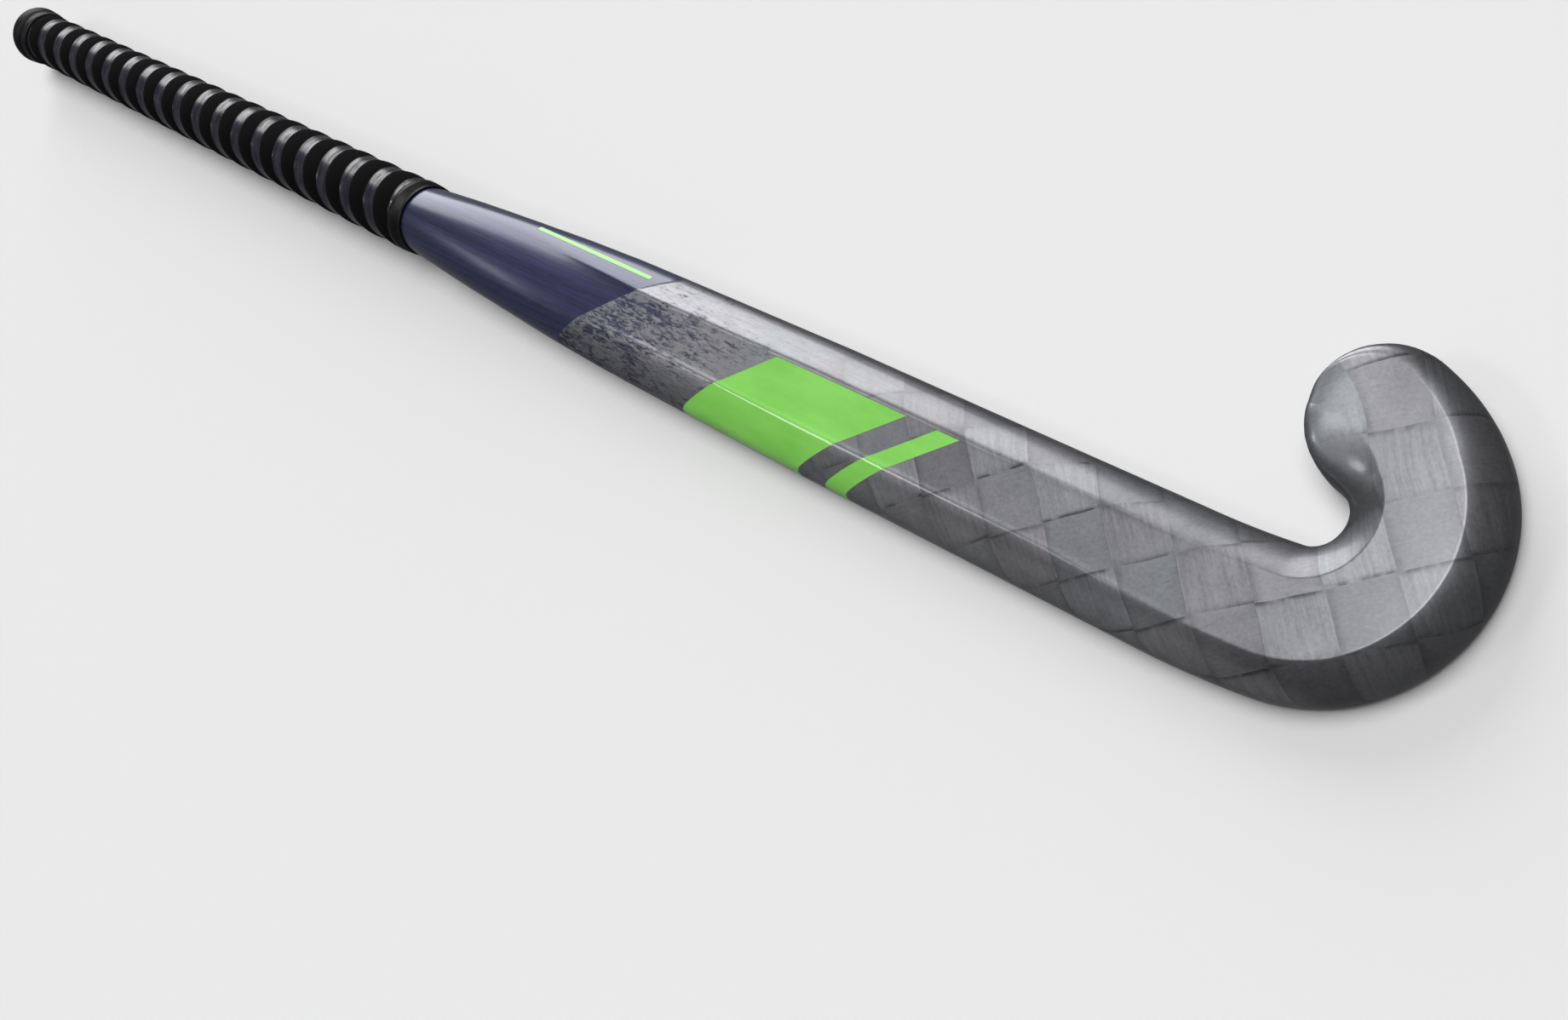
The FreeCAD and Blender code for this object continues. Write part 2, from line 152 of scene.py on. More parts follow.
def smooth(x):
    """Zero below 0, one above 1, and level at both."""
    x = min(max(x, 0.0), 1.0)
    return x * x * (3.0 - 2.0 * x)


def along(table, s):
    """Straight-line interpolation in a table of (station, value) pairs."""
    if s <= table[0][0]:
        return table[0][1]
    for (s0, v0), (s1, v1) in zip(table, table[1:]):
        if s <= s1:
            return v0 + (v1 - v0) * (s - s0) / (s1 - s0)
    return table[-1][1]


# ---------------------------------------------------------------- the moulding's shape

def handle_radius(s):
    """The bare handle's radius, under the grip."""
    share = min(s / GRIP_LENGTH, 1.0)
    diameter = BUTT_GRIP_DIAMETER + (NECK_GRIP_DIAMETER - BUTT_GRIP_DIAMETER) * share
    return 0.5 * diameter - GRIP_BUILD


def centre_height(s):
    """The centre line's height, which sinks from the handle's axis to half the head's thickness."""
    drop = HANDLE_HEIGHT - 0.5 * THICKNESS
    return HANDLE_HEIGHT - drop * smooth((s - BOW_START) / (BOW_END - BOW_START))


@functools.lru_cache(maxsize=None)
def centre(s):
    """X, Y and heading of the centre line at a station."""
    x, y, heading = min(s, HOOK_START), 0.0, 0.0
    left = s - HOOK_START
    for radius, angle in HOOK_ARCS:
        if left <= 0.0:
            break
        turn = min(left / radius, math.radians(angle))
        x += radius * (math.sin(heading + turn) - math.sin(heading))
        y += radius * (math.cos(heading) - math.cos(heading + turn))
        heading += turn
        left -= radius * turn
    return x, y, heading


def bezier_arc(radius, start, end):
    """A cubic's poles along an arc between two angles in degrees."""
    a, b = math.radians(start), math.radians(end)
    reach = 4.0 / 3.0 * math.tan(0.25 * (b - a)) * radius
    p = (radius * math.cos(a), radius * math.sin(a))
    q = (radius * math.cos(b), radius * math.sin(b))
    return [p, (p[0] - reach * math.sin(a), p[1] + reach * math.cos(a)),
            (q[0] + reach * math.sin(b), q[1] - reach * math.cos(b)), q]


def straight(p, q):
    """A cubic's poles along a straight line."""
    third = ((q[0] - p[0]) / 3.0, (q[1] - p[1]) / 3.0)
    return [p, (p[0] + third[0], p[1] + third[1]), (q[0] - third[0], q[1] - third[1]), q]


def on_cubic(poles, t):
    u = 1.0 - t
    weights = (u * u * u, 3.0 * u * u * t, 3.0 * u * t * t, t * t * t)
    return (sum(w * pole[0] for w, pole in zip(weights, poles)),
            sum(w * pole[1] for w, pole in zip(weights, poles)))


def flat_outline(half, thick, inner_bevel, outer_bevel, drop, corner):
    """The eight cubics of the flat-faced section, from the face's heel side round through the toe side."""
    reach = QUARTER_ARC * corner
    right = [straight((-(half - corner), -thick), (half - corner, -thick))]
    left = []
    for side, bevel, edges in ((1.0, inner_bevel, right), (-1.0, outer_bevel, left)):
        foot = (side * (half - corner), -thick)
        wall = (side * half, -thick + corner)
        shoulder = (side * (half - SHOULDER_IN * bevel), (1.0 - drop) * thick)
        crease = (side * (half - bevel), thick)
        chord = (crease[0] - shoulder[0], crease[1] - shoulder[1])
        bulge = BEVEL_BULGE / THICKNESS * 2.0 * thick / math.hypot(*chord)
        out = (side * bulge * chord[1], -side * bulge * chord[0])
        first = (shoulder[0] + chord[0] / 3.0 + out[0], shoulder[1] + chord[1] / 3.0 + out[1])
        second = (crease[0] - chord[0] / 3.0 + out[0], crease[1] - chord[1] / 3.0 + out[1])
        tangent = (first[0] - shoulder[0], first[1] - shoulder[1])
        lean = WALL_REACH * thick / math.hypot(*tangent)
        edges.append([foot, (foot[0] + side * reach, foot[1]), (wall[0], wall[1] - reach), wall])
        edges.append([wall, (wall[0], wall[1] + WALL_REACH * thick),
                      (shoulder[0] - lean * tangent[0], shoulder[1] - lean * tangent[1]), shoulder])
        edges.append([shoulder, first, second, crease])
    land = straight(right[-1][3], left[-1][3])
    return right + [land] + [edge[::-1] for edge in reversed(left)]


@functools.lru_cache(maxsize=None)
def section(s, inset):
    """The section's points (across, up) at a station, with the dished land and the rounded creases."""
    reach = min(max((s - CAP_START) / (CAP_LENGTH - inset), 0.0), LAST_REACH)
    width_left = math.sqrt(1.0 - reach * reach)
    thick_left = (1.0 - reach ** TIP_POWER) ** (1.0 / TIP_POWER)
    face_share = smooth((s - ROUND_END) / (FLAT_START - ROUND_END))
    back_share = smooth((s - BACK_START) / (BACK_END - BACK_START))
    radius = handle_radius(s) - inset
    half = radius if s < ROUND_END else (0.5 * along(WIDTH, s) - inset) * width_left
    thick = ((1.0 - face_share) * radius + face_share * (0.5 * THICKNESS - inset)) * thick_left
    crease_shift = CREASE_SHIFT * inset
    inner = (along(INNER_BEVEL, s) + crease_shift - inset) * width_left
    outer = (along(OUTER_BEVEL, s) + crease_shift - inset) * width_left
    corner = max(CORNER_RADIUS - inset, SMALLEST_CORNER)
    corner = min(corner * min(1.0, thick_left, 2.0 * width_left), 0.45 * half)
    flat = flat_outline(half, thick, inner, outer, along(BEVEL_DROP, s), corner)
    land_width = 2.0 * half - inner - outer
    relief = back_share * width_left * along(CREASE_FADE, s)
    lean = CAP_LEAN * reach * reach
    edges = []
    for number, poles in enumerate(flat):
        arc = bezier_arc(1.0, ROUND_ANGLES[number], ROUND_ANGLES[number + 1])
        shares = [back_share if pole in BACK_POLES[number] else face_share for pole in range(4)]
        edges.append([((1.0 - share) * half * c[0] + share * p[0],
                       (1.0 - share) * thick * c[1] + share * p[1])
                      for share, c, p in zip(shares, arc, poles)])
    points = []
    for side, t in POINTS:
        across, up = on_cubic(edges[side], t)
        if SIDES[side] == "land":
            rise = max(0.0, 1.0 - min(t, 1.0 - t) * land_width / LIP)
            up -= DISH * relief * (1.0 - rise * rise)
        if t == 0.0 and SIDES[side] in ("land", "heel_bevel"):
            up -= CREASE_ROUND * relief
        points.append((across + lean, up))
    return points


@functools.lru_cache(maxsize=None)
def girths(s):
    """Each point's length round the section from the land's middle, positive on the toe side."""
    points = section(s, 0.0)
    result = [0.0] * len(points)
    for step in (1, -1):
        index, total = LAND_MIDDLE, 0.0
        for _ in points:
            following = (index + step) % len(points)
            total += math.dist(points[index], points[following])
            result[following] = -step * total
            index = following
            if SIDES[POINTS[index][0]] == "face":
                break
    return result


def place(s, point):
    """A section's point (across, up) at a station, in the stick's coordinates."""
    x, y, heading = centre(s)
    return (x - math.sin(heading) * point[0], y + math.cos(heading) * point[0], centre_height(s) + point[1])


def between(s, index, inset):
    """One point of the section at any station, from the two whole stations beside it."""
    low = math.floor(s)
    a, b = section(float(low), inset)[index], section(float(low + 1), inset)[index]
    return tuple(p + (q - p) * (s - low) for p, q in zip(a, b))


def slanted_row(x, slant, inset, first=0, last=len(POINTS)):
    """The points of a row that crosses the centre line at x and leans, with their stations."""
    row = []
    for index in range(first, last):
        across = section(float(round(x)), inset)[index % len(POINTS)][0]
        for _ in range(3):
            s = x + slant * across
            across, up = between(s, index % len(POINTS), inset)
        row.append((s, (across, up)))
    return row


def cloth_place(s, girth):
    """Where a point of the skin lay on the flat cloth before it was wrapped, in metres."""
    x, y, heading = centre(s)
    return 0.001 * (x - math.sin(heading) * girth), 0.001 * (y + math.cos(heading) * girth)


# ---------------------------------------------------------------- meshes

class Piece:
    """Vertices, faces and cloth coordinates that become one object."""

    def __init__(self):
        self.points, self.faces, self.cloth = [], [], []

    def add_points(self, points):
        first = len(self.points)
        self.points += [to_frame(*point) for point in points]
        return list(range(first, len(self.points)))

    def add_face(self, corners, cloth=None):
        self.faces.append(corners)
        self.cloth.append(cloth or [(0.0, 0.0)] * len(corners))

    def bridge(self, row, following, cloth=None, following_cloth=None, closed=True):
        """Faces between two rows of equal length."""
        count = len(row)
        for k in range(count if closed else count - 1):
            n = (k + 1) % count
            uv = None
            if cloth:
                uv = [cloth[k][0], cloth[n][1], following_cloth[n][1], following_cloth[k][0]]
            self.add_face([row[k], row[n], following[n], following[k]], uv)

    def fan(self, ring, point, cloth=(0.0, 0.0)):
        tip = self.add_points([point])[0]
        for k in range(len(ring)):
            self.add_face([ring[k], ring[(k + 1) % len(ring)], tip], [cloth] * 3)

    def finish(self, name, material, slot_name, sharp_degrees=40.0):
        """The object, on the frame's one body, with edges sharper than an angle left hard."""
        mesh = bpy.data.meshes.new(name)
        mesh.from_pydata(self.points, [], self.faces)
        layer = mesh.uv_layers.new(name="cloth")
        flat = [value for corners in self.cloth for corner in corners for value in corner]
        layer.data.foreach_set("uv", flat)
        mesh.validate()
        shell = bmesh.new()
        shell.from_mesh(mesh)
        bmesh.ops.recalc_face_normals(shell, faces=shell.faces)
        for face in shell.faces:
            face.smooth = True
        for edge in shell.edges:
            edge.smooth = edge.calc_face_angle(0.0) < math.radians(sharp_degrees)
        shell.to_mesh(mesh)
        shell.free()
        mesh.materials.append(material)
        piece = bpy.data.objects.new(name, mesh)
        bpy.context.scene.collection.objects.link(piece)
        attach(piece, "root")
        return piece


def row_cloth(row):
    """Cloth coordinates of a row's points, each for the side after the point and for the side before it."""
    result = []
    for index, (s, point) in enumerate(row):
        low = math.floor(s)
        a, b = girths(float(low)), girths(float(low + 1))
        girth = a[index] + (b[index] - a[index]) * (s - low)
        wrapped, below = cloth_place(s, girth), cloth_place(s, -point[0] - FACE_CLOTH_SHIFT)
        side = SIDES[POINTS[index][0]]
        before = below if side == "face" and index != 0 or index == FIRST["toe_corner"] else wrapped
        after = below if side == "face" else wrapped
        result.append((after, before))
    return result


def full_row(s, inset):
    """A whole section as a row of (station, point) pairs."""
    return [(s, point) for point in section(s, inset)]


def add_skin(piece, rows, mapped):
    """Bridges rows of (station, point) pairs and returns the first and the last row's vertices."""
    ends = []
    previous, previous_cloth = None, None
    for row in rows:
        ring = piece.add_points([place(s, point) for s, point in row])
        cloth = row_cloth(row) if mapped else None
        if previous:
            piece.bridge(previous, ring, previous_cloth, cloth)
        else:
            ends.append(ring)
        previous, previous_cloth = ring, cloth
    return ends[0], previous


def steps(start, end, pitch):
    """Even steps of about a pitch from the start, without the end."""
    count = max(1, round((end - start) / pitch))
    return [start + (end - start) * k / count for k in range(count)]


def painted_rows(inset, pitch):
    """Rows along the painted ply, which lean more and more towards the paint's slanted edge."""
    blend_start = 440.0
    rows = [full_row(s, inset) for s in steps(TUBE_START, ROUND_END, 4.0 * pitch)]
    rows += [full_row(s, inset) for s in steps(ROUND_END, blend_start, pitch)]
    for x in steps(blend_start, PAINT_END, pitch) + [PAINT_END]:
        rows.append(slanted_row(x, SLANT * (x - blend_start) / (PAINT_END - blend_start), inset))
    return rows


def tow_rows(inset, pitch, cap_steps):
    """Rows along the woven ply, from the paint's slanted edge round the hook to the tip."""
    blend_end = 640.0
    rows = []
    for x in steps(PAINT_END, blend_end, pitch):
        rows.append(slanted_row(x, SLANT * (blend_end - x) / (blend_end - PAINT_END), inset))
    rows += [full_row(s, inset) for s in steps(blend_end, HOOK_START, pitch)]
    rows += [full_row(s, inset) for s in steps(HOOK_START, CAP_START, 0.6 * pitch)]
    last_angle = 89.0
    for k in range(cap_steps + 1):
        angle = math.radians(last_angle * k / cap_steps)
        rows.append(full_row(CAP_START + (CAP_LENGTH - inset) * math.sin(angle), inset))
    return rows


def tip_point(inset):
    """The end of the toe."""
    s = CAP_START + CAP_LENGTH - inset
    return place(s, (CAP_LEAN, 0.0))


def painted_ply(material):
    piece = Piece()
    outer_start, outer_end = add_skin(piece, painted_rows(inset=0.0, pitch=2.5), mapped=True)
    inner_start, inner_end = add_skin(piece, painted_rows(inset=PLY, pitch=10.0), mapped=False)
    piece.bridge(outer_start, inner_start)
    piece.bridge(outer_end, inner_end)
    ply = piece.finish("painted_ply_skin", material, "navy_paint")
    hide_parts("painted_ply")


def spread_tow_ply(material):
    piece = Piece()
    outer = tow_rows(inset=0.0, pitch=2.5, cap_steps=20)
    inner = tow_rows(inset=PLY, pitch=8.0, cap_steps=8)
    outer_start, outer_end = add_skin(piece, outer, mapped=True)
    inner_start, inner_end = add_skin(piece, inner, mapped=False)
    piece.bridge(outer_start, inner_start)
    piece.fan(outer_end, tip_point(0.0), cloth_place(PATH_END, 0.0))
    piece.fan(inner_end, tip_point(PLY))
    ply = piece.finish("spread_tow_skin", material, "spread_tow", sharp_degrees=75.0)
    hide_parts("spread_tow_ply")


def lacquer_film(name, material, first, last, rows):
    """A closed film over part of the section. rows are (x on the centre line, slant) pairs."""
    piece = Piece()
    previous = None
    for x, slant in rows:
        ring = []
        for inset, order in ((-LACQUER, 1), (LACQUER_SINK, -1)):
            row = slanted_row(x, slant, inset, first, last + 1)[::order]
            ring += piece.add_points([place(s, point) for s, point in row])
        cloth = [((0.001 * x, 0.001 * k),) * 2 for k in range(len(ring))]
        if previous:
            piece.bridge(previous[0], ring, previous[1], cloth)
        else:
            piece.add_face(ring[::-1])
        previous = (ring, cloth)
    piece.add_face(previous[0])
    film = piece.finish(name + "_film", material, "green_lacquer")
    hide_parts(name)


def decoration(material):
    """The three pieces of green lacquer. The panel and the band start a little inside the land."""
    points_left_out = 3
    first, last = FIRST["land"] + points_left_out, FIRST["heel_corner"]
    for name, start, end, pitch in (("accent_panel", PANEL_START, PANEL_END, 3.0),
                                    ("accent_band", BAND_START, BAND_END, 2.0)):
        rows = [(x, SLANT) for x in steps(start, end, pitch) + [end]]
        lacquer_film(name, material, first, last, rows)
    pinstripe(material)


def pinstripe(material):
    """A thin straight line on the toe side's bevel, whose width is not tied to the section's points."""
    piece = Piece()
    previous = None
    shoulder, crease = FIRST["toe_bevel"], FIRST["land"]
    for s in steps(STRIPE_START, STRIPE_END, 3.0) + [STRIPE_END]:
        ring = []
        for inset, offsets in ((-LACQUER, (0.5, 0.0, -0.5)), (LACQUER_SINK, (-0.5, 0.0, 0.5))):
            points = section(float(round(s)), inset)[shoulder - 2:crease + 1]
            for offset in offsets:
                across = STRIPE_MIDDLE + offset * STRIPE_WIDTH
                for (v0, w0), (v1, w1) in zip(points, points[1:]):
                    if v1 <= across <= v0:
                        up = w0 + (w1 - w0) * (across - v0) / (v1 - v0)
                ring += piece.add_points([place(s, (across, up))])
        if previous:
            piece.bridge(previous, ring)
        else:
            piece.add_face(ring[::-1])
        previous = ring
    piece.add_face(previous)
    film = piece.finish("pinstripe_film", material, "green_lacquer")
    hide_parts("pinstripe")


def wrap_profile():
    """The strip's section as (offset along X, height over the base tape), with its rib and its groove."""
    half_rib, half_cord = 0.5 * RIB_WIDTH, 0.5 * CORD_WIDTH
    cord_top = half_cord - CORD_SLOPE
    valley_end = PITCH - half_rib - STRIP_GAP
    edge, rib_fullness = 0.15, 0.75
    under = [(-half_rib, 0.0), (-half_cord, 0.0), (-cord_top, CORD_HEIGHT), (cord_top, CORD_HEIGHT),
             (half_cord, 0.0), (valley_end, 0.0)]
    over = [(valley_end, VALLEY - edge), (valley_end - edge, VALLEY)]
    valley_points = 4
    valley_length = valley_end - edge - half_rib
    over += [(valley_end - edge - valley_length * k / valley_points, VALLEY)
             for k in range(1, valley_points)]
    rib_steps = 16
    for k in range(rib_steps + 1):
        share = 1.0 - 2.0 * k / rib_steps
        bump = (1.0 - share * share) ** rib_fullness
        over.append((half_rib * share, VALLEY + RIB_RISE * bump))
    over.append((-half_rib, VALLEY - edge))
    return under, over


def round_handle(x, radius, angle):
    """A point at a radius and an angle round the handle's axis."""
    return x, radius * math.cos(angle), HANDLE_HEIGHT + radius * math.sin(angle)


def grip_wrap(material):
    """The wound strip: a helix of its section, cut square at both ends."""
    piece = Piece()
    under, over = wrap_profile()
    profile = under + over
    first = FIRST_RIB - PITCH * (1.0 + FIRST_RIB_ANGLE / 360.0)
    mean_radius = 0.25 * (BUTT_GRIP_DIAMETER + NECK_GRIP_DIAMETER)
    columns = 72
    turns = math.ceil((WRAP_END + PITCH - first) / PITCH)
    previous = None
    for k in range(-columns // 2, turns * columns + 1):
        angle = 2.0 * math.pi * k / columns
        x0 = first + PITCH * k / columns
        points = []
        for offset, rise in profile:
            radius = handle_radius(x0 + offset) + BASE_TAPE + rise
            points.append(round_handle(x0 + offset, radius, angle))
        ring = piece.add_points(points)
        length = 0.001 * angle * mean_radius
        cloth = [((length, 0.001 * offset),) * 2 for offset, _ in profile]
        if previous:
            piece.bridge(previous[0], ring, previous[1], cloth)
        previous = (ring, cloth)
    wrap = piece.finish("grip_wrap_strip", material, "grip")
    cut = bmesh.new()
    cut.from_mesh(wrap.data)
    for x, side in ((WRAP_START, -1.0), (WRAP_END, 1.0)):
        everything = cut.verts[:] + cut.edges[:] + cut.faces[:]
        bmesh.ops.bisect_plane(cut, geom=everything, plane_co=to_frame(x, 0.0, 0.0),
                               plane_no=(side, 0.0, 0.0), clear_outer=True)
        rim = [edge for edge in cut.edges if edge.is_boundary]
        bmesh.ops.holes_fill(cut, edges=rim, sides=0)
    largest_side_face = 6
    ends = [face for face in cut.faces if len(face.verts) > largest_side_face]
    bmesh.ops.triangulate(cut, faces=ends)
    cut.to_mesh(wrap.data)
    cut.free()
    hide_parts("grip_wrap")


def lathe(name, slot_name, material, profile, columns=96, ripple=0.0):
    """A turned piece: a closed profile of (x, radius), or an open one with both ends on the axis.

    The ripple makes its rings a little wavy along the axis.
    """
    piece = Piece()
    rings = []
    for x, radius in profile:
        if radius == 0.0:
            rings.append((x, None))
            continue
        points = []
        for k in range(columns):
            angle = 2.0 * math.pi * k / columns
            wave = ripple * (math.sin(3.0 * angle + x) + 0.6 * math.sin(7.0 * angle - 2.0 * x))
            points.append(round_handle(x + wave, radius, angle))
        rings.append((x, piece.add_points(points)))
    pairs = list(zip(rings, rings[1:]))
    if rings[0][1] and rings[-1][1]:
        pairs.append((rings[-1], rings[0]))
    for (x0, a), (x1, b) in pairs:
        if a is None:
            piece.fan(b, (x0, 0.0, HANDLE_HEIGHT))
        elif b is None:
            piece.fan(a, (x1, 0.0, HANDLE_HEIGHT))
        else:
            cloth = [[((0.001 * x, 0.001 * k),) * 2 for k in range(columns)] for x in (x0, x1)]
            piece.bridge(a, b, cloth[0], cloth[1])
    return piece.finish(name, material, slot_name, sharp_degrees=55.0)


def on_tube(x, rise=0.0):
    """A profile point at a height over the bare handle."""
    return x, handle_radius(x) + rise


def arc_points(x, radius, size, start, end, count=8):
    """Points of a rounded corner of a profile, about a middle, between two angles in degrees."""
    result = []
    for k in range(count + 1):
        angle = math.radians(start + (end - start) * k / count)
        result.append((x + size * math.cos(angle), radius + size * math.sin(angle)))
    return result


def grip_ends(tape, rubber):
    """The finishing tape, the band at the butt and the butt cap."""
    finish = [on_tube(WRAP_END), on_tube(GRIP_LENGTH)]
    finish += [on_tube(GRIP_LENGTH, 0.5 * FINISH_EDGE), on_tube(GRIP_LENGTH - 0.15, FINISH_EDGE)]
    layer_edges, step_length, step_down, step_up = (2.2, 5.4), 0.2, 0.08, 0.1
    for edge in layer_edges:
        share = edge / (GRIP_LENGTH - WRAP_END)
        rise = FINISH_EDGE + (FINISH_HEIGHT - FINISH_EDGE) * share
        finish += [on_tube(GRIP_LENGTH - edge, rise - step_down),
                   on_tube(GRIP_LENGTH - edge - step_length, rise + step_up)]
    finish += [on_tube(WRAP_END + 0.4, FINISH_HEIGHT), on_tube(WRAP_END, FINISH_HEIGHT - 0.3)]
    ring = lathe("grip_finish_tape_ring", "finish_tape", tape, finish, ripple=0.05)
    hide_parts("grip_finish_tape")

    edge = 0.3
    band = [on_tube(CAP_SKIRT_END), on_tube(WRAP_START)]
    band += [on_tube(WRAP_START, BAND_HEIGHT - edge), on_tube(WRAP_START - edge, BAND_HEIGHT)]
    band += [(CAP_SKIRT_END + edge, CAP_SKIRT_RADIUS - BAND_STEP),
             (CAP_SKIRT_END, CAP_SKIRT_RADIUS - BAND_STEP - edge)]
    ring = lathe("butt_band_ring", "finish_tape", tape, band, ripple=0.04)
    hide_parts("butt_band")

    size = CAP_RADIUS - CAP_FLAT_RADIUS
    cap = [(0.0, 0.0), (0.0, 0.5 * CAP_FLAT_RADIUS)]
    cap += arc_points(size, CAP_FLAT_RADIUS, size, 180.0, 90.0, 14)
    cap += [(CAP_SKIRT_END - edge, CAP_SKIRT_RADIUS), (CAP_SKIRT_END, CAP_SKIRT_RADIUS - edge)]
    cap += [on_tube(CAP_SKIRT_END), on_tube(TUBE_START), (TUBE_START, STEM_RADIUS)]
    cap += [(STEM_END - edge, STEM_RADIUS), (STEM_END, STEM_RADIUS - edge), (STEM_END, 0.0)]
    moulding = lathe("butt_cap_moulding", "butt_rubber", rubber, cap)
    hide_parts("butt_cap")


# ---------------------------------------------------------------- materials

MIX_SHARE, MIX_A, MIX_B, MIX_COLOUR = 0, 6, 7, 2     # a colour Mix node's inputs, and its output


class Paint:
    """A material's node tree, with a short call for each kind of node."""

    def __init__(self, name, **surface):
        self.material = bpy.data.materials.new(name)
        self.material.use_nodes = True
        self.tree = self.material.node_tree
        self.shader = self.tree.nodes["Principled BSDF"]
        for key, value in surface.items():
            self.shader.inputs[key.replace("_", " ").title().replace("Ior", "IOR")].default_value = value

    def put(self, socket, value):
        if isinstance(value, bpy.types.NodeSocket):
            self.tree.links.new(value, socket)
        else:
            socket.default_value = value

    def node(self, kind, values=(), **settings):
        node = self.tree.nodes.new("ShaderNode" + kind)
        for key, value in settings.items():
            setattr(node, key, value)
        for index, value in enumerate(values):
            self.put(node.inputs[index], value)
        return node

    def math(self, operation, *values):
        return self.node("Math", values, operation=operation).outputs[0]

    def add(self, a, b):
        return self.math("ADD", a, b)

    def less(self, a, b):
        return self.math("SUBTRACT", a, b)

    def times(self, a, b):
        return self.math("MULTIPLY", a, b)

    def ramp(self, value, low, high, at_low=0.0, at_high=1.0):
        """A smooth step of the value between two limits."""
        values = (value, low, high, at_low, at_high)
        node = self.node("MapRange", values, interpolation_type="SMOOTHSTEP")
        return node.outputs[0]

    def mix(self, share, a, b, blend_type="MIX"):
        """A colour between a and b, or their product with MULTIPLY."""
        node = self.node("Mix", data_type="RGBA", blend_type=blend_type)
        for index, value in ((MIX_SHARE, share), (MIX_A, a), (MIX_B, b)):
            self.put(node.inputs[index], value)
        return node.outputs[MIX_COLOUR]

    def blend(self, share, a, b):
        """A number between a and b."""
        return self.add(a, self.times(share, self.less(b, a)))

    def swing(self, value, depth):
        """A noise turned into a change to either side of zero."""
        return self.times(self.less(value, 0.5), depth)

    def join(self, x, y, z=0.0):
        return self.node("CombineXYZ", (x, y, z)).outputs[0]

    def split(self, vector):
        return self.node("SeparateXYZ", (vector,)).outputs[:]

    def noise(self, vector, scale, detail=3.0, roughness=0.55, distortion=0.0):
        node = self.node("TexNoise")
        for key, value in (("Vector", vector), ("Scale", scale), ("Detail", detail),
                           ("Roughness", roughness), ("Distortion", distortion)):
            self.put(node.inputs[key], value)
        return node.outputs[0]

    def random(self, x, y, z=0.0):
        """One even random number for each whole x, y and z."""
        node = self.node("TexWhiteNoise", (self.join(x, y, z),), noise_dimensions="3D")
        return node.outputs["Value"]

    def cloth(self):
        """Cloth coordinates in millimetres."""
        u, v, _ = self.split(self.node("UVMap", uv_map="cloth").outputs[0])
        return self.times(u, 1000.0), self.times(v, 1000.0)

    def spot(self):
        """The point itself, in millimetres of the frame."""
        position = self.node("TexCoord").outputs["Object"]
        return [self.times(value, 1000.0) for value in self.split(position)]

    def finish(self, colour, roughness, height, depth_mm, bump_strength=1.0, rough_coat=False):
        """Links the surface's colour, roughness and bump, and returns the material."""
        self.put(self.shader.inputs["Base Color"], colour)
        self.put(self.shader.inputs["Roughness"], roughness)
        bump = self.node("Bump")
        bump.inputs["Strength"].default_value = bump_strength
        bump.inputs["Distance"].default_value = 0.001 * depth_mm
        self.put(bump.inputs["Height"], height)
        self.put(self.shader.inputs["Normal"], bump.outputs[0])
        if rough_coat:
            self.put(self.shader.inputs["Coat Normal"], bump.outputs[0])
        return self.material


def grey(value, tint=1.0):
    """A grey, or with a tint below one a warm colour."""
    return value, value * (0.5 + 0.5 * tint), value * tint, 1.0


# The two families of tows: degrees from the handle's axis, a tow's width, where one edge lies, and how far
# they wander
TOW_FAMILIES = ((37.5, 20.5, -482.3, 3.0), (-48.0, 20.6, 598.8, -3.0))
SILVER_COOL, SILVER_WARM = (0.210, 0.219, 0.232, 1.0), (0.214, 0.209, 0.224, 1.0)
FLECK_BY_PAINT, FLECK_IN_PRINT = (0.020, 0.024, 0.070, 1.0), (0.030, 0.028, 0.040, 1.0)


def tow_families(p, x, y):
    """Each family of tows: the tow's number, the lengths along and across it, and how near its edge is."""
    wander = p.less(p.noise(p.join(x, y), 0.03, 2.0), 0.5)
    families = []
    for degrees, width, edge, sway in TOW_FAMILIES:
        turn = math.radians(degrees)
        along_tow = p.add(p.times(x, math.cos(turn)), p.times(y, math.sin(turn)))
        across_tow = p.add(p.times(x, -math.sin(turn)), p.times(y, math.cos(turn)))
        across_tow = p.add(across_tow, p.times(wander, sway))
        count = p.times(p.add(across_tow, -edge), 1.0 / width)
        to_edge = p.times(p.math("PINGPONG", p.math("FRACT", count), 0.5), width)
        families.append((p.math("FLOOR", count), along_tow, across_tow, to_edge))
    return families


def distance_from_tip(p, px, py):
    tip = to_frame(*tip_point(0.0))
    tip_x, tip_y = p.less(px, 1000.0 * tip.x), p.less(py, 1000.0 * tip.y)
    return p.math("SQRT", p.add(p.times(tip_x, tip_x), p.times(tip_y, tip_y)))


def tow_fibres(p, x, y, fibre_along, fibre_across, cell, a_over, calm):
    """The tone of the fibres, which run along whichever tow is on top, and its finest part."""
    layer = p.times(cell, 40.0)
    streak = p.noise(p.join(p.times(fibre_along, 0.05), fibre_across, layer), 0.75, 4.0, 0.65)
    fine = p.noise(p.join(p.times(fibre_along, 0.22), fibre_across, layer), 1.6, 3.0, 0.65)
    streak_depth = p.times(p.blend(a_over, 0.75, 0.16), calm)
    fibre = p.add(1.0, p.swing(streak, streak_depth))
    fibre = p.add(fibre, p.swing(fine, p.times(calm, 0.42)))
    mottle = p.noise(p.join(x, y, 3.0), 0.06, 3.0, 0.6)
    grain = p.noise(p.join(x, y, 9.0), 0.75, 3.0, 0.7)
    fibre = p.add(fibre, p.swing(mottle, 0.50))
    return p.add(fibre, p.swing(grain, 0.55)), fine


